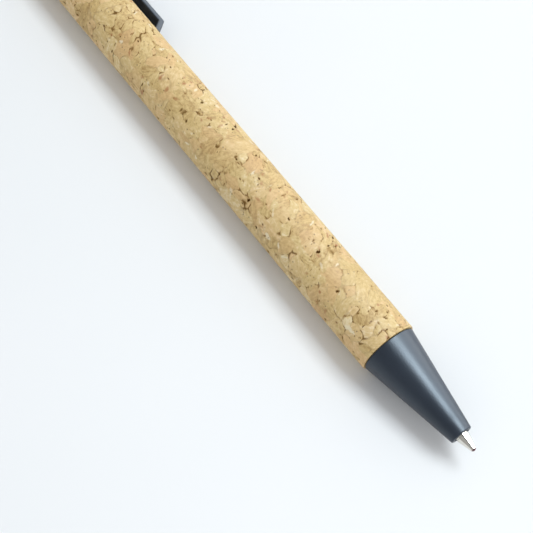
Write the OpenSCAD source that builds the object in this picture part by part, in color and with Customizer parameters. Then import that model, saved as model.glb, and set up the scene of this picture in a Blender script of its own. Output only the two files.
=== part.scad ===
// Retractable ballpoint pen with a cork covered barrel.
// Row frame: +X runs along the pen towards the writing point, +Z is up, and the origin is on the
// pen's axis at the front shoulder of the barrel. The pen lies on a table at z = -barrel_d / 2 and
// leans on one corner of its clip. Every module is drawn about its own z axis, with z towards the
// writing point and z = 0 at the shoulder, and lay_down() turns it into the row frame.
// The pen is drawn with its point out.

/* [Barrel] */
// Outside diameter of the cork
barrel_d = 10.4; // [10.2:0.1:11]
// Length of the cork covered barrel
barrel_len = 104; // [100:1:112]
// Thickness of the cork covering
cork_t = 0.78; // [0.7:0.02:0.8]

/* [Nose] */
// Length of the nose cone ahead of the barrel
nose_len = 18.2; // [17:0.1:20]
// Diameter of the nose cone at the barrel
nose_base_d = 9.85; // [9.6:0.05:10.1]
// Diameter of the nose cone at its mouth
nose_tip_d = 3.9; // [3.8:0.1:4.4]

/* [Refill] */
// How far the point stands out of the nose cone when it is out
point_out = 3.1; // [2.5:0.1:3.6]
// Diameter of the point's body
point_d = 2.25; // [2.1:0.05:2.3]
// Diameter of the writing ball
ball_d = 1; // [0.7:0.1:1]
// Outside diameter of the ink tube
tube_d = 3; // [2.9:0.05:3.1]

/* [Button] */
// Diameter of the push button
button_d = 6.6; // [6.2:0.1:6.7]
// How far the button stands out of the cap while the point is out
button_out = 6; // [5.5:0.5:8]
// How far the button and refill spring back when the point is let in
retract = 5; // [4:0.1:5]
// How far the button can be pushed past its place at rest
overtravel = 1.3; // [1:0.1:1.3]

/* [Cap and clip] */
// Length of the cap behind the barrel
cap_len = 8; // [8:0.5:10]
// Width of the clip
clip_w = 5; // [4.4:0.1:5.2]
// Thickness of the clip's blade
clip_t = 1.1; // [0.9:0.1:1.2]
// Clear gap between the barrel and the clip's blade
clip_gap = 1.6; // [1.4:0.1:1.8]
// Distance from the shoulder back to the clip's free end
clip_end = 72.8; // [69:0.2:75]

/* [Hidden] */
$fn = 64;

// colours
cork_col = [0.82, 0.72, 0.54];
slate_col = [0.24, 0.27, 0.33];
steel_col = [0.80, 0.80, 0.82];
ink_col = [0.20, 0.02, 0.06];
tube_col = [0.88, 0.90, 0.92];
white_col = [0.92, 0.92, 0.90];

// clearances, and the small overlap that keeps cuts clean
glue_gap = 0.02;
slide_gap = 0.1;
mouth_gap = 0.25;
cup_gap = 0.06;
eps = 0.01;

// barrel
barrel_r = barrel_d / 2;
liner_r = barrel_r - cork_t - glue_gap;
liner_bore_r = 3.5;
barrel_z = -barrel_len;
edge_break = 0.12;

// nose cone: spigot_bore_r narrows to chamber_r between the shoulder and chamber_z
nose_r = nose_base_d / 2;
nose_tip_r = nose_tip_d / 2;
nose_joint_gap = 0.08;
spigot_len = 8;
spigot_lead = 0.3;
spigot_bore_r = 2.6;
chamber_r = 2.35;
chamber_z = 2;
spring_seat_z = 10;
mouth_r = point_d / 2 + mouth_gap;
mouth_break = 0.15;

// refill
point_z = nose_len + point_out;
point_r = point_d / 2;
ball_r = ball_d / 2;
ball_show = 0.28;
rim_r = 0.47;
rim_z = point_z - ball_show;
cone_angle = 15;
feed_r = 0.3;
tube_r = tube_d / 2;
tube_bore_r = 0.95;
tube_front_z = 7.8;
collar_len = 0.8;
tail_len = 4;
tail_pocket = 0.1;
ear_r = 2.1;
ear_z = -4;
ear_t = 1.2;
ink_fill = 72;

// return spring
wire_d = 0.4;
spring_r = 1.9;
spring_turns = 13;
spring_end_gap = 0.05;
wire_sides = 8;
steps_per_turn = 20;

// cam mechanism, all behind the shoulder
cam_z = barrel_z + 12.5;
housing_front_z = barrel_z + 18;
key_stop_z = barrel_z + 0.5;
stop_ring_t = 0.6;
cam_r = 2.1;
cam_guide_r = cam_r + slide_gap;
rib_r = 2.7;
groove_r = rib_r + slide_gap;
rib_w = 1;
groove_w = rib_w + 2 * slide_gap;
rib_len = 2;
rib_count = 4;
ledge_gap = 0.2;
tooth_h = 0.8;
tooth_count = 2 * rib_count;
cam_overlap = 1.5;
cam_meet_z = cam_z - cam_overlap;
cam_gap = 0.1;
key_clearance = 0.3;
key_z = key_stop_z + retract + key_clearance;
cup_r = tube_r + cup_gap;
cup_depth = 1.8;
rotor_front_z = housing_front_z + 1.5;
refill_tail_z = rotor_front_z - cup_depth;

// button, cap and housing neck
cap_z = barrel_z - cap_len;
button_r = button_d / 2;
button_z = cap_z - button_out;
button_bore_r = button_r + 0.12;
skirt_z = key_stop_z - stop_ring_t - overtravel - slide_gap;
skirt_break = 0.2;
button_roof_t = 4;
plunger_top_z = button_z + button_roof_t;
flange_t = 1.2;
neck_r = 4;
cap_roof_t = 1.5;
neck_z = cap_z + cap_roof_t;
button_crown = 0.55;
button_edge_r = 0.5;
cap_edge_r = 0.7;

// clip: it hangs below the horizontal by the angle at which its corner reaches the table
blade_in_r = barrel_r + clip_gap;
blade_out_r = blade_in_r + clip_t;
clip_roll = asin(barrel_r / norm([blade_out_r, clip_w / 2])) - atan2(clip_w / 2, blade_out_r);
clip_root_t = 1.2;
clip_root_back = 4.3;
clip_root_z = cap_z + clip_root_back;
clip_root_r = 4.15;
slot_gap = 0.2;
slot_r = neck_r - 0.5;
outer_bend = 0.8;
foot_slope = 38;
foot_t = clip_t / cos(foot_slope);
foot_clear_r = barrel_r + 0.6;
foot_in_r = barrel_r - 0.3;

// Points of an arc in the profile plane, from angle a0 to a1 in steps of 15 degrees or less
function arc(cx, cy, r, a0, a1) =
    let (n = ceil(abs(a1 - a0) / 15))
    [for (i = [0 : n]) let (a = a0 + (a1 - a0) * i / n) [cx + r * cos(a), cy + r * sin(a)]];

// Turns the pen's own axis onto the row's X axis
module lay_down() {
    rotate([0, 90, 0]) children();
}

module rod(r, z0, z1) {
    translate([0, 0, z0]) cylinder(r = r, h = z1 - z0);
}

module tube(r_out, r_in, z0, z1) {
    difference() {
        rod(r_out, z0, z1);
        rod(r_in, z0 - eps, z1 + eps);
    }
}

// A plate that stands out from the axis: its outline is given as [across, along the axis]
module radial_plate(reach, outline) {
    rotate([90, 0, 90]) linear_extrude(reach) polygon(outline);
}

// Ribs evenly round the axis out to r, with slanted rear ends that slide off the cam teeth
module ribs(r, z0, z1, slant) {
    half = rib_w / 2;
    intersection() {
        rod(r, z0 - 1, z1 + 1);
        for (i = [0 : rib_count - 1])
            rotate([0, 0, i * 360 / rib_count])
                radial_plate(r, [[-half, z0], [half, z0 + slant], [half, z1], [-half, z1]]);
    }
}

// V notches right across the end face at z, cut in the direction of dir
module crown_notches(z, dir) {
    pitch_w = 2 * cam_r * tan(180 / tooth_count);
    for (i = [0 : tooth_count / 2 - 1])
        rotate([0, 0, (i + 0.5) * 360 / tooth_count])
            rotate([90, 0, 0])
                linear_extrude(3 * cam_r, center = true)
                    polygon([
                        [-pitch_w / 2, z - dir * eps],
                        [pitch_w / 2, z - dir * eps],
                        [0, z + dir * tooth_h]
                    ]);
}

module cork_sleeve() {
    bore_r = barrel_r - cork_t;
    color(cork_col) lay_down() rotate_extrude() polygon([
        [bore_r, barrel_z],
        [barrel_r - edge_break, barrel_z],
        [barrel_r, barrel_z + edge_break],
        [barrel_r, -edge_break],
        [barrel_r - edge_break, 0],
        [bore_r, 0]
    ]);
}

module barrel_liner() {
    color(white_col) lay_down() tube(liner_r, liner_bore_r, barrel_z, 0);
}

// Straight cone with softly rounded edges, a spigot that pushes into the liner and a stepped bore
module nose_cone() {
    base_edge = 0.2;
    mouth_edge = 0.3;
    spigot_r = liner_bore_r - glue_gap;
    color(slate_col) lay_down() rotate_extrude() polygon(concat(
        [[spigot_bore_r, -spigot_len], [spigot_r - spigot_lead, -spigot_len]],
        [[spigot_r, spigot_lead - spigot_len], [spigot_r, nose_joint_gap]],
        arc(nose_r - base_edge, nose_joint_gap + base_edge, base_edge, -90, 10),
        arc(nose_tip_r - mouth_edge, nose_len - mouth_edge, mouth_edge, 10, 90),
        [[mouth_r + mouth_break, nose_len], [mouth_r, nose_len - mouth_break]],
        [[mouth_r, spring_seat_z], [chamber_r, spring_seat_z]],
        [[chamber_r, chamber_z], [spigot_bore_r, 0]]
    ));
}

// Turned point: a tail pressed into the ink tube, a collar, the body and the cone that holds the ball
module refill_point() {
    tail_r = tube_bore_r - glue_gap / 2;
    cone_z = rim_z - (point_r - rim_r) / tan(cone_angle);
    ball_z = point_z - ball_r;
    color(steel_col) lay_down() difference() {
        rotate_extrude() polygon([
            [0, tube_front_z - tail_len],
            [tail_r, tube_front_z - tail_len],
            [tail_r, tube_front_z],
            [tube_r, tube_front_z],
            [tube_r, tube_front_z + collar_len],
            [point_r, tube_front_z + collar_len],
            [point_r, cone_z],
            [rim_r, rim_z],
            [0, rim_z]
        ]);
        rod(feed_r, tube_front_z - tail_len - eps, ball_z);
        translate([0, 0, ball_z]) sphere(r = ball_r + glue_gap / 2);
    }
}

module writing_ball() {
    color(ink_col) lay_down() translate([0, 0, point_z - ball_r]) sphere(r = ball_r);
}

// Ink tube with the ring near its front that the spring pushes on
module refill_tube() {
    color(tube_col) lay_down() difference() {
        union() {
            rod(tube_r, refill_tail_z, tube_front_z);
            rod(ear_r, ear_z - ear_t, ear_z);
        }
        rod(tube_bore_r, refill_tail_z - eps, tube_front_z + eps);
    }
}

module ink_column() {
    front_z = tube_front_z - tail_len - tail_pocket;
    color(ink_col) lay_down() rod(tube_bore_r - glue_gap / 2, front_z - ink_fill, front_z);
}

// Compression spring between the ring on the ink tube and the seat in the nose cone.
// Its first and last turns lie closed, and the others share the rest of the length evenly.
module return_spring() {
    low_z = ear_z + wire_d / 2 + spring_end_gap;
    high_z = spring_seat_z - wire_d / 2 - spring_end_gap;
    steps = spring_turns * steps_per_turn;
    closed_pitch = wire_d * 1.08;
    open_pitch = (high_z - low_z - 2 * closed_pitch) / (spring_turns - 2);
    function rise(turn) =
        closed_pitch * (min(turn, 1) + max(turn - spring_turns + 1, 0))
        + open_pitch * (min(max(turn, 1), spring_turns - 1) - 1);
    points = [
        for (i = [0 : steps]) let (turn = i / steps_per_turn, a = 360 * turn)
            for (k = [0 : wire_sides - 1]) let (
                b = 360 * k / wire_sides,
                r = spring_r + wire_d / 2 * cos(b)
            )
                [r * cos(a), r * sin(a), low_z + rise(turn) + wire_d / 2 * sin(b)]
    ];
    sides = [
        for (i = [0 : steps - 1], k = [0 : wire_sides - 1]) let (
            a = i * wire_sides + k,
            b = i * wire_sides + (k + 1) % wire_sides
        )
            [a, a + wire_sides, b + wire_sides, b]
    ];
    first_end = [for (k = [0 : wire_sides - 1]) k];
    last_end = [for (k = [wire_sides - 1 : -1 : 0]) steps * wire_sides + k];
    color(steel_col) lay_down() polyhedron(points, concat(sides, [first_end, last_end]));
}

// Fixed sleeve of the click mechanism: deep grooves for the ribs, ledges at the grooves' front
// ends where the rotor parks, a ring that keeps the plunger in, and a neck that guides the button
module cam_housing() {
    color(white_col) lay_down() difference() {
        union() {
            rod(liner_bore_r - glue_gap, barrel_z, housing_front_z);
            rod(liner_r, barrel_z - flange_t, barrel_z);
            rod(neck_r, neck_z, barrel_z);
        }
        rod(cam_guide_r, neck_z - eps, housing_front_z + eps);
        rod(groove_r, cam_z, housing_front_z + eps);
        rod(button_bore_r, neck_z - eps, key_stop_z - stop_ring_t);
        intersection() {
            rod(groove_r, key_stop_z, cam_z + eps);
            for (i = [0 : rib_count / 2 - 1])
                rotate([0, 0, i * 360 / rib_count])
                    translate([-groove_r, -groove_w / 2, key_stop_z])
                        cube([2 * groove_r, groove_w, cam_z + eps - key_stop_z]);
        }
    }
}

// Rotor that carries the refill's tail and parks its ribs on the housing's ledges
module cam_rotor() {
    back_z = cam_meet_z + cam_gap / 2;
    rib_z = cam_z + ledge_gap;
    color(slate_col) lay_down() difference() {
        union() {
            rod(cam_r, back_z, rotor_front_z);
            ribs(rib_r, rib_z, rib_z + rib_len, rib_w / 2);
        }
        crown_notches(back_z, 1);
        rod(cup_r, refill_tail_z - slide_gap, rotor_front_z + eps);
        rod(feed_r, back_z - eps, rotor_front_z);
    }
}

// Plunger that the button is pressed onto, with keys that run in the housing's grooves
module cam_plunger() {
    front_z = cam_meet_z - cam_gap / 2;
    color(white_col) lay_down() difference() {
        union() {
            rod(cam_r, plunger_top_z, front_z);
            ribs(rib_r, key_z, key_z + rib_len, 0);
        }
        crown_notches(front_z, -1);
    }
}

// Button with a crowned top, a rounded edge and a socket for the plunger
module push_button() {
    crown_steps = 4;
    color(slate_col) lay_down() difference() {
        rotate_extrude() polygon(concat(
            [for (i = [0 : crown_steps]) let (k = i / crown_steps)
                [(button_r - button_edge_r) * k, button_z + button_crown * pow(k, 2)]],
            arc(button_r - button_edge_r, button_z + 2 * button_crown, button_edge_r, -60, 0),
            [[button_r, skirt_z - skirt_break], [button_r - skirt_break, skirt_z], [0, skirt_z]]
        ));
        rod(cam_r + glue_gap, plunger_top_z - slide_gap, skirt_z + eps);
    }
}

// Cap behind the barrel: it covers the housing's neck and has a slot for the clip's root
module top_cap() {
    color(slate_col) lay_down() difference() {
        rotate_extrude() polygon(concat(
            [[0, cap_z]],
            arc(nose_r - cap_edge_r, cap_z + cap_edge_r, cap_edge_r, -90, 0),
            [[nose_r, barrel_z - nose_joint_gap], [0, barrel_z - nose_joint_gap]]
        ));
        rod(button_bore_r, cap_z - eps, barrel_z);
        rod(neck_r + glue_gap, neck_z - slide_gap, barrel_z);
        rod(liner_r + glue_gap, barrel_z - flange_t - slide_gap, barrel_z);
        rotate([0, 0, 90 - clip_roll])
            translate([slot_r, -clip_w / 2 - slot_gap, clip_root_z - slot_gap])
                cube([nose_r, clip_w + 2 * slot_gap, clip_root_t + 2 * slot_gap]);
    }
}

// Clip: a root held in the cap's slot, a flat blade and a foot that slopes in towards the barrel.
// The foot's end is hollowed to follow the barrel, with room for a sleeve slid over the barrel.
module clip() {
    function foot_z(r) = -clip_end - (r - barrel_r) * tan(foot_slope);
    foot_bend_z = foot_z(blade_out_r) - outer_bend * tan((90 - foot_slope) / 2);
    side = concat(
        [[clip_root_r, clip_root_z]],
        arc(blade_out_r - outer_bend, clip_root_z + outer_bend, outer_bend, -90, 0),
        arc(blade_out_r - outer_bend, foot_bend_z, outer_bend, 0, 90 - foot_slope),
        [[foot_in_r, foot_z(foot_in_r)], [foot_in_r, foot_z(foot_in_r) - foot_t]],
        [[blade_in_r, foot_z(blade_in_r) - foot_t], [blade_in_r, clip_root_z + clip_root_t]],
        [[clip_root_r, clip_root_z + clip_root_t]]
    );
    color(slate_col) lay_down() rotate([0, 0, 90 - clip_roll]) difference() {
        rotate([90, 0, 0]) linear_extrude(clip_w, center = true) polygon(side);
        rod(foot_clear_r, foot_z(blade_out_r) - 2 * foot_t, foot_z(foot_in_r) + eps);
    }
}

cork_sleeve();
barrel_liner();
nose_cone();
refill_point();
writing_ball();
refill_tube();
ink_column();
return_spring();
cam_housing();
cam_rotor();
cam_plunger();
push_button();
top_cap();
clip();
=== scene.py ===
"""Looks of a retractable ballpoint pen with a cork covered barrel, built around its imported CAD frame.

Lengths are in millimetres and are turned into metres where Blender takes them. Noise scales are per metre.
The pen lies along +X with its point at the high end, and the shoulder between cork and nose is x = 0.
"""
import math

import bmesh
import bpy
import numpy as np
from mathutils import Matrix, Vector


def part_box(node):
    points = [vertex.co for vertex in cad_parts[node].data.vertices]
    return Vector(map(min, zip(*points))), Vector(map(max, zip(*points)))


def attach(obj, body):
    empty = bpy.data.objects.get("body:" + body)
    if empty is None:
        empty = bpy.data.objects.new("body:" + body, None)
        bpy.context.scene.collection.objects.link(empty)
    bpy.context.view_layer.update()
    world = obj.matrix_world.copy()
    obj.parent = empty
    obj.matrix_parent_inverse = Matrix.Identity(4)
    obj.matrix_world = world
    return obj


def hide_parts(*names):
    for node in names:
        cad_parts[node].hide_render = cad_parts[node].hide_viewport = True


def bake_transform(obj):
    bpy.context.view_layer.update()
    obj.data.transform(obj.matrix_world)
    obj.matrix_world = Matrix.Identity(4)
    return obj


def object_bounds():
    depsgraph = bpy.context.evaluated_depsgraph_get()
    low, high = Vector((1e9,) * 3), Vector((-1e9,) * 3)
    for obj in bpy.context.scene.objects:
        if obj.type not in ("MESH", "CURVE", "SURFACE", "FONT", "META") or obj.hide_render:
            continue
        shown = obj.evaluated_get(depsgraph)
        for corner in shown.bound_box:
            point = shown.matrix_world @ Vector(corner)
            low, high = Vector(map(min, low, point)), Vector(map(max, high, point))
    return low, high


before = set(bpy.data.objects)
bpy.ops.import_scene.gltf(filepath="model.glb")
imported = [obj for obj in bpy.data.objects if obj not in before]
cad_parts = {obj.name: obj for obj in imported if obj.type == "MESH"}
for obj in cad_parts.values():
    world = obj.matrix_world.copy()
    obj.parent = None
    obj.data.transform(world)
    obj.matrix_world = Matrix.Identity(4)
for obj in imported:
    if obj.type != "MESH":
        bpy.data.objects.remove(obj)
cad_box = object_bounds()

MM = 0.001


def span(node):
    """Lowest and highest corner of a CAD node, in millimetres."""
    low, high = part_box(node)
    return low / MM, high / MM


# ---------------------------------------------------------------- sizes

cork_low, cork_high = span("cork_sleeve")
nose_low, nose_high = span("nose_cone")
point_low, _ = span("refill_point")
_, ball_high = span("writing_ball")
spring_low, spring_high = span("return_spring")
button_low, button_high = span("push_button")
cap_low, cap_high = span("top_cap")
clip_low, clip_high = span("clip")

BARREL_R = cork_high.z
CORK_T = 0.78
CORK_BORE_R = BARREL_R - CORK_T
NOSE_R = nose_high.z
NOSE_TIP_R = 1.95
SPIGOT_R = 3.48
SPIGOT_BORE_R = 2.6
GROOVE_REAR_X = -5.4
GROOVE_FRONT_X = -4.2
GROOVE_SLOPE = 0.2
GROOVE_DEPTH = 0.18
JOINT_GAP = 0.08
CHAMBER_R = 2.35
CHAMBER_REAR_X = 2.0
SPRING_SEAT_X = 10.0
MOUTH_R = 1.375
POINT_R = 1.125
RIM_R = 0.47
RIM_LEN = 0.22
RIM_FLARE = 0.06
BALL_SHOW = 0.28
RIM_X = ball_high.x - BALL_SHOW
SEAT_R = 0.36
SEAT_DEPTH = 0.3
RING_BACK = 0.32
RING_LEN = 0.2
RING_SLOPE = 0.04
RING_DEPTH = 0.06
POINT_CONE = math.radians(15)
TAIL_R = 0.94
COLLAR_X = 7.8
COLLAR_R = 1.5
COLLAR_LEN = 0.8
WIRE_R = 0.2
SPRING_R = spring_high.z - WIRE_R
SPRING_TURNS = 13
CLOSED_PITCH = 2.16 * WIRE_R
WIRE_SIDES = 12
STEPS_PER_TURN = 28
BUTTON_R = button_high.z
BUTTON_GAP = 0.12
CROWN_RISE = 0.55
CROWN_EDGE = 0.45
CROWN_STEPS = 6
SOCKET_R = 2.12
SOCKET_DEPTH = 8.6
NECK_R = 4.02
FLANGE_R = 4.42
FLANGE_T = 1.3
CAP_ROOF_T = 1.4
SLOT_GAP = 0.12
SLOT_INNER_R = NECK_R - 0.4
SLOT_OUTER_R = NOSE_R + 2
CLIP_W = 5.0
CLIP_T = 1.1
CLIP_GAP = 1.6
CLIP_ROOT_R = 4.15
CLIP_ROOT_T = 1.2
CLIP_EDGE = 0.24
CLIP_EDGE_STEPS = 4
CLIP_FLAT_STEPS = 4
CLIP_CROWN = 0.06
FOOT_SLOPE = math.radians(38)
FOOT_GAP = 0.12
FOOT_REST_R = BARREL_R + FOOT_GAP
BLADE_R = BARREL_R + CLIP_GAP
CLIP_ROLL = math.asin(BARREL_R / math.hypot(BLADE_R + CLIP_T, CLIP_W / 2)) - math.atan2(
    CLIP_W / 2, BLADE_R + CLIP_T
)


# ---------------------------------------------------------------- mesh tools

SHARP_DEGREES = 40
WELD = 1e-7
ON_AXIS_R = 1e-6
NEARLY_STRAIGHT = math.radians(88)
MOST_OF_A_SIDE = 0.49


def make_piece(name, verts, faces, body, material, replaces, sharp=SHARP_DEGREES):
    """A mesh object from millimetre points, riding on a body if one is given and standing for CAD nodes."""
    mesh = bpy.data.meshes.new(name)
    mesh.from_pydata([tuple(c * MM for c in v) for v in verts], [], faces)
    clean = bmesh.new()
    clean.from_mesh(mesh)
    bmesh.ops.remove_doubles(clean, verts=clean.verts, dist=WELD)
    bmesh.ops.recalc_face_normals(clean, faces=clean.faces)
    clean.to_mesh(mesh)
    clean.free()
    mesh.shade_smooth()
    mesh.set_sharp_from_angle(angle=math.radians(sharp))
    mesh.materials.append(material)
    piece = bpy.data.objects.new(name, mesh)
    bpy.context.scene.collection.objects.link(piece)
    if body:
        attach(piece, body)
    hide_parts(*replaces)
    return piece


def rounded(corners, steps=5):
    """A closed outline with round corners, from [(x, y, corner radius), ...]."""
    outline = []
    count = len(corners)
    for i, (x, y, radius) in enumerate(corners):
        here = Vector((x, y))
        before = Vector(corners[i - 1][:2]) - here
        after = Vector(corners[(i + 1) % count][:2]) - here
        half = before.angle(after) / 2
        if radius <= 0 or half > NEARLY_STRAIGHT:
            outline.append((x, y))
            continue
        reach = min(radius / math.tan(half), before.length * MOST_OF_A_SIDE, after.length * MOST_OF_A_SIDE)
        radius = reach * math.tan(half)
        centre = here + (before.normalized() + after.normalized()).normalized() * (radius / math.sin(half))
        start = here + before.normalized() * reach - centre
        turn = start.angle_signed(here + after.normalized() * reach - centre)
        for k in range(steps + 1):
            arm = start.copy()
            arm.rotate(Matrix.Rotation(-turn * k / steps, 2))
            outline.append(tuple(centre + arm))
    return outline


def revolve(outline, segments):
    """Points and faces of a closed outline of (x, radius) turned about the X axis."""
    turns = [2 * math.pi * k / segments for k in range(segments)]
    verts = [(x, r * math.cos(a), r * math.sin(a)) for a in turns for x, r in outline]
    n = len(outline)
    faces = []
    for k in range(segments):
        for i in range(n):
            j = (i + 1) % n
            here, there = k * n, (k + 1) % segments * n
            if outline[i][1] < ON_AXIS_R and outline[j][1] < ON_AXIS_R:
                continue
            faces.append((here + i, here + j, there + j, there + i))
    return verts, faces


def cut(piece, cutter):
    """Takes the cutter's volume out of the piece and removes the cutter."""
    modifier = piece.modifiers.new("cut", "BOOLEAN")
    modifier.operation = "DIFFERENCE"
    modifier.solver = "EXACT"
    modifier.object = cutter
    depsgraph = bpy.context.evaluated_depsgraph_get()
    mesh = bpy.data.meshes.new_from_object(piece.evaluated_get(depsgraph))
    piece.modifiers.clear()
    piece.data = mesh
    mesh.shade_smooth()
    mesh.set_sharp_from_angle(angle=math.radians(SHARP_DEGREES))
    bpy.data.objects.remove(cutter)


# ---------------------------------------------------------------- node tools


class Shader:
    """A material's node tree, with short calls to add and join nodes."""

    def __init__(self, name):
        self.material = bpy.data.materials.new(name)
        self.material.use_nodes = True
        self.tree = self.material.node_tree
        self.surface = self.tree.nodes["Principled BSDF"]

    def node(self, kind, inputs=None, **settings):
        node = self.tree.nodes.new("ShaderNode" + kind)
        for key, value in settings.items():
            setattr(node, key, value)
        for key, value in (inputs or {}).items():
            self.put(node.inputs[key], value)
        return node

    def put(self, socket, value):
        if isinstance(value, bpy.types.NodeSocket):
            self.tree.links.new(value, socket)
        else:
            socket.default_value = value

    def set(self, **inputs):
        for key, value in inputs.items():
            self.put(self.surface.inputs[key.replace("_", " ")], value)

    def place(self):
        return self.node("TexCoord").outputs["Object"]

    def attribute(self, name, output="Fac"):
        return self.node("Attribute", attribute_name=name).outputs[output]

    def stretch(self, vector, scale):
        return self.node("Mapping", {"Vector": vector, "Scale": scale}).outputs["Vector"]

    def noise(self, vector, scale, detail=3.0, rough=0.5, output="Fac"):
        inputs = {"Vector": vector, "Scale": scale, "Detail": detail, "Roughness": rough}
        return self.node("TexNoise", inputs).outputs[output]

    def cells(self, vector, scale):
        return self.node("TexVoronoi", {"Vector": vector, "Scale": scale}).outputs["Distance"]

    def swirl(self, vector, scale, reach_mm):
        """The vector pushed about by noise, up to half of reach_mm each way."""
        push = self.noise(vector, scale, 2.0, output="Color")
        push = self.node("VectorMath", {0: push, 1: (0.5, 0.5, 0.5)}, operation="SUBTRACT").outputs[0]
        push = self.node("VectorMath", {0: push, "Scale": reach_mm * MM}, operation="SCALE").outputs[0]
        return self.node("VectorMath", {0: vector, 1: push}, operation="ADD").outputs[0]

    def math(self, operation, a, b=0.0, clamp=False):
        node = self.node("Math", operation=operation, use_clamp=clamp)
        self.put(node.inputs[0], a)
        self.put(node.inputs[1], b)
        return node.outputs[0]

    def remap(self, value, low, high, to_low=0.0, to_high=1.0):
        inputs = {"Value": value, "From Min": low, "From Max": high, "To Min": to_low, "To Max": to_high}
        return self.node("MapRange", inputs).outputs["Result"]

    def ramp(self, value, stops):
        node = self.node("ValToRGB", {"Fac": value})
        elements = node.color_ramp.elements
        while len(elements) < len(stops):
            elements.new(0.5)
        for element, (position, colour) in zip(elements, stops):
            element.position = position
            element.color = (*colour, 1)
        return node.outputs["Color"]

    def mix(self, factor, a, b):
        node = self.node("Mix", data_type="RGBA")
        self.put(node.inputs["Factor"], factor)
        self.put(node.inputs[6], a if isinstance(a, bpy.types.NodeSocket) else (*a, 1))
        self.put(node.inputs[7], b if isinstance(b, bpy.types.NodeSocket) else (*b, 1))
        return node.outputs[2]

    def bump(self, height, strength, distance_mm, normal=None):
        inputs = {"Height": height, "Strength": strength, "Distance": distance_mm * MM}
        if normal:
            inputs["Normal"] = normal
        return self.node("Bump", inputs).outputs["Normal"]


def srgb(red, green, blue):
    """A linear colour from 0 to 255 display values."""
    return tuple(((c / 255 + 0.055) / 1.055) ** 2.4 if c > 10 else c / 3295 for c in (red, green, blue))


# ---------------------------------------------------------------- materials


def cork_material():
    """Pressed cork: granules of several tones with streaks, dark borders and pits, rust marks, pale chips and
    fine pores. The grain attribute is in millimetres, so its streaks have a scale of 1."""
    s = Shader("cork")
    place = s.place()
    tone = s.attribute("cork_tone")
    tint = s.attribute("cork_tint")
    border = s.attribute("cork_border")
    seam = s.math("MULTIPLY", s.attribute("cork_seam"), s.remap(border, 0.28, 0.04))
    crack = s.math("MULTIPLY", s.attribute("cork_crack"), s.remap(border, 0.24, 0.07, 0.0, 0.52))
    pit = s.math("MAXIMUM", s.attribute("cork_pit"), crack)
    chip = s.attribute("cork_chip")
    rust = s.attribute("cork_rust")
    grain = s.attribute("cork_grain", "Vector")

    streaks = s.noise(s.stretch(grain, (0.5, 3.2, 1.0)), 1.0, 4.0, 0.65)
    mottle = s.noise(place, 1500.0, 4.0, 0.7)
    cloud = s.noise(place, 300.0, 3.0, 0.6)
    shade = s.math("ADD", tone, s.remap(streaks, 0.3, 0.7, -0.30, 0.30))
    shade = s.math("ADD", shade, s.remap(mottle, 0.3, 0.7, -0.34, 0.34))
    shade = s.math("ADD", shade, s.remap(cloud, 0.3, 0.7, -0.08, 0.08), clamp=True)
    colour = s.ramp(shade, [
        (0.0, srgb(172, 139, 83)),
        (0.3, srgb(196, 166, 107)),
        (0.55, srgb(209, 182, 124)),
        (0.8, srgb(217, 192, 140)),
        (1.0, srgb(228, 209, 167)),
    ])
    colour = s.mix(s.remap(tint, 0.5, 0.95, 0.0, 0.45), colour, srgb(215, 172, 122))
    colour = s.mix(s.remap(tint, 0.35, 0.0, 0.0, 0.35), colour, srgb(194, 163, 103))
    colour = s.mix(s.remap(seam, 0.0, 1.0, 0.0, 0.42), colour, srgb(138, 104, 58))
    colour = s.mix(rust, colour, srgb(158, 92, 42))
    colour = s.mix(s.remap(chip, 0.2, 0.7, 0.0, 0.75), colour, srgb(231, 219, 187))

    pores = s.cells(s.swirl(place, 1800.0, 0.3), 1400.0)
    pore_patch = s.noise(place, 420.0, 2.0)
    pore = s.math("MULTIPLY", s.remap(pores, 0.26, 0.12), s.remap(pore_patch, 0.50, 0.62))
    colour = s.mix(s.math("MULTIPLY", pore, 0.7), colour, srgb(104, 70, 34))
    colour = s.mix(s.remap(pit, 0.05, 0.35, 0.0, 0.55), colour, srgb(138, 98, 50))
    colour = s.mix(s.remap(pit, 0.25, 0.7), colour, srgb(64, 40, 16))

    rough = s.remap(streaks, 0.3, 0.7, 0.52, 0.68)
    fine = s.noise(place, 3200.0, 2.0)
    normal = s.bump(s.math("SUBTRACT", mottle, s.math("MULTIPLY", pore, 0.7)), 0.35, 0.05)
    normal = s.bump(fine, 0.25, 0.02, normal)
    gloss = s.remap(pit, 0.0, 0.5, 0.55, 0.0)
    s.set(Base_Color=colour, Roughness=rough, Specular_IOR_Level=gloss, Normal=normal)
    return s.material


def slate_material():
    """Dark slate-blue plastic, satin, with a fine moulded skin and faint scuffs."""
    s = Shader("slate_plastic")
    place = s.place()
    cloud = s.noise(place, 160.0, 3.0)
    skin = s.noise(place, 3600.0, 3.0)
    scuffs = s.noise(s.stretch(place, (0.25, 1.0, 1.0)), 1500.0, 4.0, 0.65)
    colour = s.mix(s.remap(cloud, 0.3, 0.7), srgb(25, 31, 43), srgb(31, 38, 51))
    rough = s.math("ADD", s.remap(cloud, 0.3, 0.7, 0.36, 0.42), s.remap(scuffs, 0.55, 0.75, 0.0, 0.10))
    normal = s.bump(skin, 0.55, 0.03)
    s.set(Base_Color=colour, Roughness=rough, Specular_IOR_Level=0.6, Normal=normal)
    s.set(Specular_Tint=(0.80, 0.92, 1.0, 1.0))
    return s.material


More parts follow.
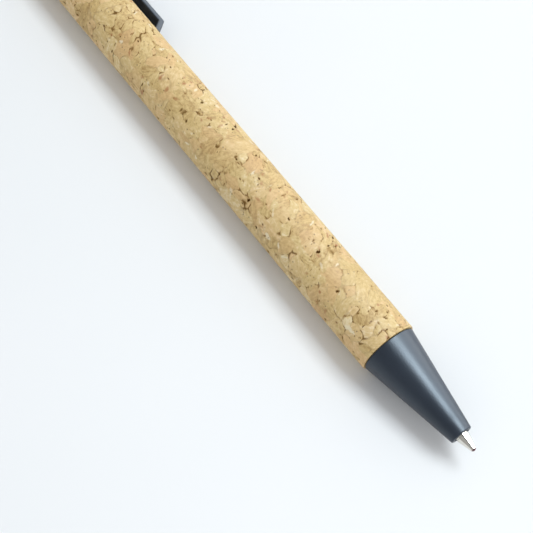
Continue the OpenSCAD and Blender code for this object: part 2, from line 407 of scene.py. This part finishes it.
def white_plastic_material():
    """Plain off-white moulded plastic, used where only the inside of the pen shows."""
    s = Shader("white_plastic")
    place = s.place()
    cloud = s.noise(place, 120.0, 3.0)
    skin = s.noise(place, 3500.0, 2.0)
    colour = s.mix(s.remap(cloud, 0.3, 0.7), srgb(226, 226, 220), srgb(238, 238, 233))
    s.set(Base_Color=colour, Roughness=s.remap(cloud, 0.3, 0.7, 0.42, 0.52), Normal=s.bump(skin, 0.15, 0.02))
    s.set(Subsurface_Weight=0.08, Subsurface_Radius=(0.001, 0.001, 0.0008))
    return s.material


def tube_material():
    """Thin milky see-through plastic of the ink tube."""
    s = Shader("tube_plastic")
    place = s.place()
    flow = s.noise(s.stretch(place, (0.15, 1.0, 1.0)), 900.0, 3.0)
    colour = s.mix(s.remap(flow, 0.3, 0.7), srgb(224, 230, 234), srgb(240, 244, 246))
    s.set(Base_Color=colour, Roughness=s.remap(flow, 0.3, 0.7, 0.12, 0.24), Transmission_Weight=0.75, IOR=1.5)
    s.set(Normal=s.bump(flow, 0.1, 0.02))
    return s.material


def turned_metal(name, dark, light, rough, ring_scale):
    """Bright metal with fine rings left by turning it about the pen's axis."""
    s = Shader(name)
    place = s.place()
    rings = s.noise(s.stretch(place, (1.0, 0.02, 0.02)), ring_scale, 3.0, 0.6)
    cloud = s.noise(place, 500.0, 3.0)
    colour = s.mix(s.remap(cloud, 0.3, 0.7), dark, light)
    s.set(Base_Color=colour, Metallic=1.0, Roughness=s.remap(cloud, 0.3, 0.7, rough, rough + 0.08))
    s.set(Normal=s.bump(rings, 0.25, 0.008))
    return s.material


def drawn_wire_material():
    """Bright drawn spring wire with faint lengthwise drawing marks."""
    s = Shader("spring_steel")
    place = s.place()
    marks = s.noise(place, 4200.0, 3.0, 0.6)
    colour = s.mix(s.remap(marks, 0.3, 0.7), srgb(176, 176, 178), srgb(206, 206, 208))
    s.set(Base_Color=colour, Metallic=1.0, Roughness=s.remap(marks, 0.3, 0.7, 0.20, 0.32))
    s.set(Normal=s.bump(marks, 0.2, 0.01))
    return s.material


def ball_material():
    """Polished writing ball with a film of dark wine coloured ink."""
    s = Shader("ball_carbide")
    film = s.noise(s.place(), 2600.0, 3.0)
    colour = s.mix(s.remap(film, 0.4, 0.6), srgb(64, 14, 30), srgb(108, 40, 56))
    s.set(Base_Color=colour, Metallic=0.5, Roughness=s.remap(film, 0.3, 0.7, 0.12, 0.3))
    s.set(Coat_Weight=0.6, Coat_Roughness=0.08)
    return s.material


def ink_material():
    """Dark paste ink seen through its tube, with faint streaks."""
    s = Shader("ink")
    streak = s.noise(s.stretch(s.place(), (0.1, 1.0, 1.0)), 1600.0, 3.0)
    colour = s.mix(s.remap(streak, 0.3, 0.7), srgb(38, 6, 18), srgb(58, 14, 30))
    s.set(Base_Color=colour, Roughness=s.remap(streak, 0.3, 0.7, 0.2, 0.35))
    s.set(Normal=s.bump(streak, 0.1, 0.01))
    return s.material


def floor_material():
    """Plain pale table with a very faint unevenness."""
    s = Shader("pale_floor")
    cloud = s.noise(s.place(), 9.0, 3.0)
    colour = s.mix(s.remap(cloud, 0.3, 0.7), srgb(229, 231, 232), srgb(233, 234, 235))
    s.set(Base_Color=colour, Roughness=0.6, Specular_IOR_Level=0.25)
    return s.material


CORK = cork_material()
SLATE = slate_material()
WHITE = white_plastic_material()
TUBE = tube_material()
NICKEL = turned_metal("nickel_silver", srgb(222, 218, 208), srgb(240, 237, 229), 0.12, 9000.0)
WIRE = drawn_wire_material()
BALL = ball_material()
INK = ink_material()


# ---------------------------------------------------------------- cork sleeve

CORK_SEED = 11
GIRTH = 2 * math.pi * BARREL_R
GRANULE_MM = 2.1
GRANULE_COLUMNS = round(GIRTH / GRANULE_MM)
CORK_ROWS = 600
CORK_SIDES = 152
SPECKS = 280
FLECKS = 330
RUST_MARKS = 150
CHIPS = 80
SEAM_DEPTH = 0.03
CRACK_DEPTH = 0.05
GRANULE_RELIEF = 0.016
PIT_DEPTH = 0.13
PORE_RELIEF = 0.018
SKIN_RISE = 0.02
DEEPEST = 0.2
END_BREAK = 0.10
END_BREAK_LEN = 0.28
GRAIN_SHIFT = 0.37


def lattice_noise(u, v, cell, rng):
    """Smooth noise from 0 to 1 over u, round the barrel, and v, along it, both in millimetres. It closes on
    itself round the barrel."""
    columns = max(3, round(GIRTH / cell))
    grid = rng.random((columns, int((cork_high.x - cork_low.x) / cell) + 4))
    a = (u / GIRTH * columns) % columns
    b = (v - cork_low.x) / cell + 1
    i, j = np.floor(a).astype(int), np.floor(b).astype(int)
    fa, fb = a - i, b - j
    fa, fb = fa * fa * (3 - 2 * fa), fb * fb * (3 - 2 * fb)
    i0, i1 = i % columns, (i + 1) % columns
    j0 = np.clip(j, 0, grid.shape[1] - 2)
    low = grid[i0, j0] * (1 - fa) + grid[i1, j0] * fa
    high = grid[i0, j0 + 1] * (1 - fa) + grid[i1, j0 + 1] * fa
    return low * (1 - fb) + high * fb


def smooth_step(value, low, high):
    """0 at low and beyond it, 1 at high and beyond it, and a smooth change between the two."""
    t = np.clip((value - low) / (high - low), 0, 1)
    return t * t * (3 - 2 * t)


def granules(u, v, rng):
    """The cork's granules: for each point its granule's number, its distance from the border and its place
    along and across the granule's own grain, and then how many numbers there are."""

    def warp():
        return 0.8 * (lattice_noise(u, v, 1.5, rng) - 0.5) + 0.18 * (lattice_noise(u, v, 0.45, rng) - 0.5)

    rows = int((cork_high.x - cork_low.x) / GRANULE_MM) + 5
    shape = (GRANULE_COLUMNS, rows)
    jitter_u, jitter_v = rng.uniform(0, 1, shape), rng.uniform(0, 1, shape)
    angle = rng.uniform(0, math.pi, shape)
    stretch = rng.uniform(1.0, 1.9, shape)
    size = rng.normal(0.0, 0.45, shape)
    cell_u = GIRTH / GRANULE_COLUMNS
    warp_u = u + warp()
    warp_v = v + warp()
    home_u = np.floor(warp_u / cell_u).astype(int)
    home_v = np.floor((warp_v - cork_low.x) / GRANULE_MM).astype(int) + 2
    first, second = np.full(u.shape, 1e9), np.full(u.shape, 1e9)
    number = np.zeros(u.shape, int)
    along, across = np.zeros(u.shape), np.zeros(u.shape)
    for step_u in range(-2, 3):
        for step_v in range(-2, 3):
            i = (home_u + step_u) % GRANULE_COLUMNS
            j = np.clip(home_v + step_v, 0, rows - 1)
            du = warp_u - (home_u + step_u + jitter_u[i, j]) * cell_u
            dv = warp_v - ((j - 2 + jitter_v[i, j]) * GRANULE_MM + cork_low.x)
            c, s = np.cos(angle[i, j]), np.sin(angle[i, j])
            a, b = du * c + dv * s, dv * c - du * s
            distance = np.hypot(a / stretch[i, j], b * stretch[i, j] ** 0.5) - size[i, j]
            nearer = distance < first
            second = np.where(nearer, first, np.minimum(second, distance))
            first = np.where(nearer, distance, first)
            number = np.where(nearer, i * rows + j, number)
            along, across = np.where(nearer, a, along), np.where(nearer, b, across)
    return number, second - first, along, across, GRANULE_COLUMNS * rows


def stamp(u, v, centres, rng, length, width):
    """Soft edged ovals at the given centres, as a mask from 0 to 1 over the grid of points."""
    mask = np.zeros(u.shape)
    ragged = 1.1 * (lattice_noise(u, v, 0.45, rng) - 0.5)
    step_v = (cork_high.x - cork_low.x) / (CORK_ROWS - 1)
    reach = int(length[1] / step_v) + 3
    for row, column in centres:
        lo, hi = max(0, row - reach), min(CORK_ROWS, row + reach + 1)
        du = u[lo:hi] - u[row, column]
        du = (du + GIRTH / 2) % GIRTH - GIRTH / 2
        dv = v[lo:hi] - v[row, column]
        angle = rng.uniform(0, math.pi)
        a = du * math.cos(angle) + dv * math.sin(angle)
        b = dv * math.cos(angle) - du * math.sin(angle)
        b = b + 0.25 * a * a / length[1] * rng.uniform(-1, 1)
        oval = np.hypot(a / rng.uniform(*length), b / rng.uniform(*width)) + ragged[lo:hi]
        mask[lo:hi] = np.maximum(mask[lo:hi], rng.uniform(0.45, 1.0) * (1 - smooth_step(oval, 0.55, 1.25)))
    return mask


def scattered(rng, weight, count):
    """Row and column of count grid points, drawn in proportion to weight."""
    chosen = rng.choice(weight.size, count, replace=False, p=(weight / weight.sum()).ravel())
    return list(zip(*np.unravel_index(chosen, weight.shape)))


def cork_sleeve():
    """The cork tube: a fine skin with granules, crevices, pits and chips, its edges slightly broken."""
    rng = np.random.default_rng(CORK_SEED)
    x = np.linspace(cork_low.x, cork_high.x, CORK_ROWS)
    turn = np.arange(CORK_SIDES) * 2 * math.pi / CORK_SIDES
    v, u = np.meshgrid(x, turn / (2 * math.pi) * GIRTH, indexing="ij")
    number, border, along, across, total = granules(u, v, rng)
    tone = np.clip(rng.normal(0.5, 0.14, total), 0, 1)[number]
    tint = rng.random(total)[number]
    height = rng.uniform(-1, 1, total)[number]

    patch = lattice_noise(u, v, 2.2, rng)
    dashes = lattice_noise(u, v, 0.7, rng)
    crack = smooth_step(patch, 0.42, 0.60) * smooth_step(dashes, 0.42, 0.68)
    seam = smooth_step(lattice_noise(u, v, 2.6, rng), 0.35, 0.8)
    near_border = np.exp(-border * 3.5) + 0.08
    clusters = smooth_step(lattice_noise(u, v, 4.0, rng), 0.30, 0.85) + 0.15
    places = near_border * clusters
    specks = stamp(u, v, scattered(rng, places, SPECKS), rng, (0.17, 0.36), (0.12, 0.18))
    flecks = stamp(u, v, scattered(rng, places, FLECKS), rng, (0.14, 0.30), (0.10, 0.15))
    rust = stamp(u, v, scattered(rng, places, RUST_MARKS), rng, (0.2, 0.6), (0.14, 0.3))
    chips = stamp(u, v, scattered(rng, near_border, CHIPS), rng, (0.4, 1.1), (0.16, 0.36))
    pit = np.maximum(specks, 0.5 * flecks)
    chip = chips * (1 - pit)
    rust = 0.8 * rust * (1 - chip)

    pores = lattice_noise(u, v, 0.4, rng) - 0.5
    groove = (SEAM_DEPTH * seam + CRACK_DEPTH * crack) * smooth_step(border, 0.4, 0.0)
    relief = GRANULE_RELIEF * height * smooth_step(border, 0.0, 0.4) + PORE_RELIEF * pores
    relief = relief - groove - PIT_DEPTH * pit
    radius = BARREL_R - SKIN_RISE + np.clip(relief, -DEEPEST, SKIN_RISE)
    edge = np.minimum(v - cork_low.x, cork_high.x - v)
    radius = radius - END_BREAK * (1 - smooth_step(edge, 0.0, END_BREAK_LEN)) ** 2

    bore = np.full(CORK_SIDES, CORK_BORE_R)
    rings = [(cork_low.x, bore), *zip(x, radius), (cork_high.x, bore)]
    verts = [
        (ring_x, r * math.cos(a), r * math.sin(a))
        for ring_x, ring_r in rings
        for a, r in zip(turn, ring_r)
    ]
    faces = []
    for k in range(len(rings)):
        here, there = k * CORK_SIDES, (k + 1) % len(rings) * CORK_SIDES
        for i in range(CORK_SIDES):
            j = (i + 1) % CORK_SIDES
            faces.append((here + i, here + j, there + j, there + i))
    piece = make_piece("cork_wrap", verts, faces, "barrel", CORK, ["cork_sleeve"], 60)

    def store(name, values, kind="FLOAT", key="value"):
        """Keeps values on the mesh. The first and last rows are repeated for the two rings of the bore."""
        padded = np.concatenate([values[:1], values, values[-1:]]).astype(np.float32)
        layer = piece.data.attributes.new(name, kind, "POINT")
        layer.data.foreach_set(key, padded.ravel())

    store("cork_tone", tone)
    store("cork_tint", tint)
    store("cork_border", border)
    store("cork_seam", seam)
    store("cork_crack", crack)
    store("cork_pit", pit)
    store("cork_chip", chip)
    store("cork_rust", rust)
    store("cork_grain", np.stack([along, across, number * GRAIN_SHIFT], axis=-1), "FLOAT_VECTOR", "vector")


# ---------------------------------------------------------------- turned and moulded pieces


def nose_cone():
    """The nose cone: a spigot with a snap groove, the cone, its mouth and the spring's chamber."""
    outline = rounded([
        (nose_low.x, SPIGOT_BORE_R, 0.1),
        (nose_low.x, SPIGOT_R, 0.35),
        (GROOVE_REAR_X, SPIGOT_R, 0.05),
        (GROOVE_REAR_X + GROOVE_SLOPE, SPIGOT_R - GROOVE_DEPTH, 0.05),
        (GROOVE_FRONT_X - GROOVE_SLOPE, SPIGOT_R - GROOVE_DEPTH, 0.05),
        (GROOVE_FRONT_X, SPIGOT_R, 0.05),
        (JOINT_GAP, SPIGOT_R, 0.0),
        (JOINT_GAP, NOSE_R, 0.16),
        (nose_high.x, NOSE_TIP_R, 0.26),
        (nose_high.x, MOUTH_R, 0.12),
        (SPRING_SEAT_X, MOUTH_R, 0.0),
        (SPRING_SEAT_X, CHAMBER_R, 0.1),
        (CHAMBER_REAR_X, CHAMBER_R, 0.2),
        (0.0, SPIGOT_BORE_R, 0.2),
    ])
    verts, faces = revolve(outline, 128)
    make_piece("nose_shell", verts, faces, "nose", SLATE, ["nose_cone"])


def refill_point():
    """The metal point: its tail in the ink tube, a collar, a body with a fine ring groove and a cone."""
    cone_x = RIM_X - (POINT_R - RIM_R) / math.tan(POINT_CONE)
    ring_x = cone_x - RING_BACK
    outline = rounded([
        (point_low.x, 0.0, 0.0),
        (point_low.x, TAIL_R, 0.08),
        (COLLAR_X, TAIL_R, 0.0),
        (COLLAR_X, COLLAR_R, 0.05),
        (COLLAR_X + COLLAR_LEN, COLLAR_R, 0.08),
        (COLLAR_X + COLLAR_LEN, POINT_R, 0.05),
        (ring_x, POINT_R, 0.03),
        (ring_x + RING_SLOPE, POINT_R - RING_DEPTH, 0.02),
        (ring_x + RING_LEN - RING_SLOPE, POINT_R - RING_DEPTH, 0.02),
        (ring_x + RING_LEN, POINT_R, 0.03),
        (cone_x, POINT_R, 0.12),
        (RIM_X - RIM_LEN, RIM_R + RIM_FLARE, 0.1),
        (RIM_X, RIM_R, 0.05),
        (RIM_X, SEAT_R, 0.0),
        (RIM_X - SEAT_DEPTH, 0.0, 0.0),
    ])
    verts, faces = revolve(outline, 72)
    make_piece("point_body", verts, faces, "refill", NICKEL, ["refill_point"], 30)


def return_spring():
    """Round wire coil with closed end turns, standing where the CAD spring stands; it rides on no body."""
    steps = SPRING_TURNS * STEPS_PER_TURN
    length = spring_high.x - spring_low.x - 2 * WIRE_R
    pitch = (length - 2 * CLOSED_PITCH) / (SPRING_TURNS - 2)
    verts = []
    for i in range(steps + 1):
        turn = i / STEPS_PER_TURN
        shut = min(turn, 1) + max(turn - SPRING_TURNS + 1, 0)
        x = spring_low.x + WIRE_R + CLOSED_PITCH * shut + pitch * (min(max(turn, 1), SPRING_TURNS - 1) - 1)
        a = 2 * math.pi * turn
        for k in range(WIRE_SIDES):
            b = 2 * math.pi * k / WIRE_SIDES
            r = SPRING_R + WIRE_R * math.cos(b)
            verts.append((x + WIRE_R * math.sin(b), r * math.cos(a), r * math.sin(a)))
    faces = []
    for i in range(steps):
        for k in range(WIRE_SIDES):
            a, b = i * WIRE_SIDES + k, i * WIRE_SIDES + (k + 1) % WIRE_SIDES
            faces.append((a, b, b + WIRE_SIDES, a + WIRE_SIDES))
    faces.append(tuple(range(WIRE_SIDES)))
    faces.append(tuple(steps * WIRE_SIDES + k for k in reversed(range(WIRE_SIDES))))
    spring = make_piece("spring_coil", verts, faces, None, WIRE, ["return_spring"], 50)
    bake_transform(spring)


def push_button():
    """The push button: a slightly domed end, a round side and the socket that holds the plunger."""
    edge_r = BUTTON_R - CROWN_EDGE
    crown = [
        (button_low.x + CROWN_RISE / 2 * (k / CROWN_STEPS) ** 2, edge_r * k / CROWN_STEPS, 0.0)
        for k in range(CROWN_STEPS + 1)
    ]
    outline = rounded(crown + [
        (button_low.x + CROWN_RISE, BUTTON_R, 0.4),
        (button_high.x, BUTTON_R, 0.2),
        (button_high.x, SOCKET_R, 0.1),
        (button_high.x - SOCKET_DEPTH, SOCKET_R, 0.2),
        (button_high.x - SOCKET_DEPTH, 0.0, 0.0),
    ])
    verts, faces = revolve(outline, 96)
    make_piece("button_shell", verts, faces, "button", SLATE, ["push_button"])


def top_cap():
    """The cap: a hole for the button, a bore for the housing's neck and a slot for the clip's root."""
    hole_r = BUTTON_R + BUTTON_GAP
    outline = rounded([
        (cap_high.x, FLANGE_R, 0.0),
        (cap_high.x, cap_high.z, 0.16),
        (cap_low.x, cap_high.z, 0.7),
        (cap_low.x, hole_r, 0.2),
        (cap_low.x + CAP_ROOF_T, hole_r, 0.0),
        (cap_low.x + CAP_ROOF_T, NECK_R, 0.0),
        (cap_high.x - FLANGE_T, NECK_R, 0.0),
        (cap_high.x - FLANGE_T, FLANGE_R, 0.0),
    ])
    verts, faces = revolve(outline, 128)
    cap = make_piece("cap_shell", verts, faces, "barrel", SLATE, ["top_cap"])
    root_x = clip_low.x + CLIP_ROOT_T / 2
    slot_half = (CLIP_ROOT_T / 2 + SLOT_GAP, CLIP_W / 2 + SLOT_GAP)
    corners = [
        clip_point(root_x + a * slot_half[0], r, b * slot_half[1])
        for r in (SLOT_INNER_R, SLOT_OUTER_R)
        for a, b in ((-1, -1), (1, -1), (1, 1), (-1, 1))
    ]
    sides = [(0, 1, 2, 3), (7, 6, 5, 4), (0, 4, 5, 1), (1, 5, 6, 2), (2, 6, 7, 3), (3, 7, 4, 0)]
    cutter_mesh = bpy.data.meshes.new("slot_cutter")
    cutter_mesh.from_pydata([c * MM for c in corners], [], sides)
    cutter = bpy.data.objects.new("slot_cutter", cutter_mesh)
    bpy.context.scene.collection.objects.link(cutter)
    cut(cap, cutter)


# ---------------------------------------------------------------- clip


def clip_point(x, r, w):
    """A point r from the axis along the clip's direction and w across it, in millimetres."""
    out = Vector((0, math.cos(CLIP_ROLL), -math.sin(CLIP_ROLL)))
    aside = Vector((0, math.sin(CLIP_ROLL), math.cos(CLIP_ROLL)))
    return Vector((x, 0, 0)) + out * r + aside * w


def inset(outline, amount):
    """The outline moved inwards by amount along its corners' bisectors, for an anticlockwise outline."""
    moved = []
    for i, (x, y) in enumerate(outline):
        before = (Vector((x, y)) - Vector(outline[i - 1])).normalized()
        after = (Vector(outline[(i + 1) % len(outline)]) - Vector((x, y))).normalized()
        inward = Vector((-before.y - after.y, before.x + after.x)).normalized()
        spread = max(0.5, inward.dot(Vector((-before.y, before.x))))
        moved.append((x + inward.x * amount / spread, y + inward.y * amount / spread))
    return moved


def clip():
    """The clip, lofted across its width: a root, a long blade and a foot that slopes in to the barrel and is
    hollowed to follow it. The long edges are rounded."""
    outer_r = BLADE_R + CLIP_T
    foot_t = CLIP_T / math.cos(FOOT_SLOPE)
    blade_end = clip_high.x

    def foot_x(r):
        return blade_end - (r - BARREL_R) * math.tan(FOOT_SLOPE)

    def side(w):
        rest_r = math.sqrt(FOOT_REST_R ** 2 - w * w)
        crown_r = outer_r - CLIP_CROWN * (2 * w / CLIP_W) ** 2
        return rounded([
            (clip_low.x, CLIP_ROOT_R, 0.0),
            (clip_low.x + CLIP_ROOT_T, CLIP_ROOT_R, 0.0),
            (clip_low.x + CLIP_ROOT_T, BLADE_R, 0.5),
            (foot_x(BLADE_R) - foot_t, BLADE_R, 0.6),
            (foot_x(rest_r) - foot_t, rest_r, 0.12),
            (foot_x(rest_r), rest_r, 0.2),
            (foot_x(outer_r), crown_r, 0.8),
            (clip_low.x, crown_r, 1.1),
        ], 6)

    half = CLIP_W / 2
    turns = [math.pi / 2 * k / CLIP_EDGE_STEPS for k in range(CLIP_EDGE_STEPS + 1)]
    rounding = [(CLIP_EDGE * (1 - math.cos(a)) - half, CLIP_EDGE * (1 - math.sin(a))) for a in turns]
    flat = [(half * k / CLIP_FLAT_STEPS, 0.0) for k in range(1 - CLIP_FLAT_STEPS, CLIP_FLAT_STEPS)]
    stations = rounding + flat + [(-w, shrink) for w, shrink in reversed(rounding)]
    loops = [inset(side(w), shrink) for w, shrink in stations]
    verts = [clip_point(x, r, w) for (w, _), loop in zip(stations, loops) for x, r in loop]
    n = len(loops[0])
    faces = []
    for k in range(len(loops) - 1):
        for i in range(n):
            j = (i + 1) % n
            faces.append((k * n + i, k * n + j, (k + 1) * n + j, (k + 1) * n + i))
    faces.append(tuple(range(n)))
    faces.append(tuple((len(loops) - 1) * n + i for i in reversed(range(n))))
    make_piece("clip_blade", verts, faces, "clip", SLATE, ["clip"], 50)


# ---------------------------------------------------------------- CAD pieces that stay

STAYING = {
    "barrel_liner": WHITE,
    "cam_housing": WHITE,
    "cam_plunger": WHITE,
    "cam_rotor": SLATE,
    "refill_tube": TUBE,
    "ink_column": INK,
    "writing_ball": BALL,
}


def finish_staying_nodes():
    """Gives the CAD nodes that no new mesh replaces their materials."""
    for node, material in STAYING.items():
        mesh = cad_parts[node].data
        mesh.materials.clear()
        mesh.materials.append(material)


# ---------------------------------------------------------------- stage, light and camera

LENS_MM = 80.5
SENSOR_MM = 36.0
TURN_IN_PICTURE = math.radians(-50.55)
POINT_TOWARDS_CAMERA = math.radians(18.95)
ROLL_FROM_CAMERA = math.radians(20.4)
SHOULDER_IN_VIEW = Vector((19.7, -13.2, -192.9))
NEAREST_SEEN = 10.0
WINDOW_ANGLE = math.radians(40)
LIGHT_DISTANCE = 600
LIGHT_COLOUR = (0.93, 1.0, 1.05)
KEY_ANGLE = math.radians(42)
KEY_SIZE = (420, 230)
KEY_POWER = 2.1
SHEEN_ANGLE = math.radians(38)
SHEEN_SIZE = (460, 290)
SHEEN_POWER = 6.4
WORLD_COLOUR = (0.98, 0.99, 1.0, 1)
WORLD_EVEN = 0.68
WINDOW_BRIGHT = 4.4
REFLECTED = [(0.0, 0.10), (0.46, 0.10), (0.53, 0.02), (0.66, 0.03), (0.85, 0.5), (1.0, 1.0)]
FLOOR_HALF = 1500.0


def pen_in_view():
    """How the pen's axes lie in the camera's own axes, which are right, up and towards the viewer."""
    turn = Matrix.Rotation(TURN_IN_PICTURE, 3, "Z")
    tip = Matrix.Rotation(-POINT_TOWARDS_CAMERA, 3, "Y")
    roll = Matrix.Rotation(-ROLL_FROM_CAMERA, 3, "X")
    return turn @ tip @ roll


def add_camera():
    """The camera, placed so that the barrel's shoulder is at its own place in the view."""
    view = pen_in_view().transposed()
    data = bpy.data.cameras.new("camera")
    data.lens = LENS_MM
    data.sensor_width = SENSOR_MM
    data.clip_start = NEAREST_SEEN * MM
    camera = bpy.data.objects.new("camera", data)
    camera.matrix_world = Matrix.Translation(view @ (-SHOULDER_IN_VIEW) * MM) @ view.to_4x4()
    bpy.context.scene.collection.objects.link(camera)
    bpy.context.scene.camera = camera


def between_camera_and_window(angle):
    """A direction in the camera's axes, turned by angle from the camera to the picture's upper right."""
    aside = math.sin(angle)
    return Vector((aside * math.cos(WINDOW_ANGLE), aside * math.sin(WINDOW_ANGLE), math.cos(angle)))


def add_softbox(name, angle, size, power):
    """An area light that faces the middle of the pen, at an angle from the camera towards the window."""
    low, high = cad_box
    centre = (low + high) / 2
    towards = (pen_in_view().transposed() @ between_camera_and_window(angle)).normalized()
    data = bpy.data.lights.new(name, "AREA")
    data.shape = "RECTANGLE"
    data.size, data.size_y = (side * MM for side in size)
    data.energy = power
    data.color = LIGHT_COLOUR
    light = bpy.data.objects.new(name, data)
    across = towards.cross(Vector((1, 0, 0))).normalized()
    long_side = across.cross(towards)
    facing = Matrix((long_side, across, towards)).transposed().to_4x4()
    light.matrix_world = Matrix.Translation(centre + towards * LIGHT_DISTANCE * MM) @ facing
    light.visible_camera = False
    bpy.context.scene.collection.objects.link(light)
    return light


def add_world():
    """A studio with even soft light, whose reflections are dim round the camera and bright by the window."""
    world = bpy.data.worlds.new("studio")
    world.use_nodes = True
    tree = world.node_tree
    direction = tree.nodes.new("ShaderNodeTexCoord").outputs["Generated"]
    facing = tree.nodes.new("ShaderNodeVectorMath")
    facing.operation = "DOT_PRODUCT"
    tree.links.new(direction, facing.inputs[0])
    facing.inputs[1].default_value = pen_in_view().transposed() @ between_camera_and_window(math.pi / 2)
    place = tree.nodes.new("ShaderNodeMapRange")
    place.inputs["From Min"].default_value = -1.0
    tree.links.new(facing.outputs["Value"], place.inputs["Value"])
    reflected = tree.nodes.new("ShaderNodeValToRGB")
    tree.links.new(place.outputs["Result"], reflected.inputs["Fac"])
    elements = reflected.color_ramp.elements
    while len(elements) < len(REFLECTED):
        elements.new(0.5)
    for element, (position, level) in zip(elements, REFLECTED):
        element.position = position
        element.color = (level, level, level, 1)
    bright = tree.nodes.new("ShaderNodeMath")
    bright.operation = "MULTIPLY"
    tree.links.new(reflected.outputs["Color"], bright.inputs[0])
    bright.inputs[1].default_value = WINDOW_BRIGHT
    strength = tree.nodes.new("ShaderNodeMix")
    strength.inputs["A"].default_value = WORLD_EVEN
    tree.links.new(tree.nodes.new("ShaderNodeLightPath").outputs["Is Glossy Ray"], strength.inputs["Factor"])
    tree.links.new(bright.outputs["Value"], strength.inputs["B"])
    background = tree.nodes["Background"]
    background.inputs["Color"].default_value = WORLD_COLOUR
    tree.links.new(strength.outputs["Result"], background.inputs["Strength"])
    bpy.context.scene.world = world


def add_floor():
    """A plain table under the pen."""
    z = cad_box[0].z / MM
    corners = [(a * FLOOR_HALF, b * FLOOR_HALF, z) for a, b in ((-1, -1), (1, -1), (1, 1), (-1, 1))]
    mesh = bpy.data.meshes.new("floor")
    mesh.from_pydata([tuple(c * MM for c in v) for v in corners], [], [(0, 1, 2, 3)])
    mesh.materials.append(floor_material())
    floor = bpy.data.objects.new("floor", mesh)
    bpy.context.scene.collection.objects.link(floor)


def add_lights():
    """A key light that makes the shadow, and a sheen light that is only seen in reflections."""
    key = add_softbox("key", KEY_ANGLE, KEY_SIZE, KEY_POWER)
    key.visible_glossy = False
    sheen = add_softbox("sheen", SHEEN_ANGLE, SHEEN_SIZE, SHEEN_POWER)
    sheen.visible_diffuse = False


cork_sleeve()
nose_cone()
refill_point()
return_spring()
push_button()
top_cap()
clip()
finish_staying_nodes()
add_floor()
add_world()
add_lights()
add_camera()
bpy.context.scene.view_settings.view_transform = "Standard"
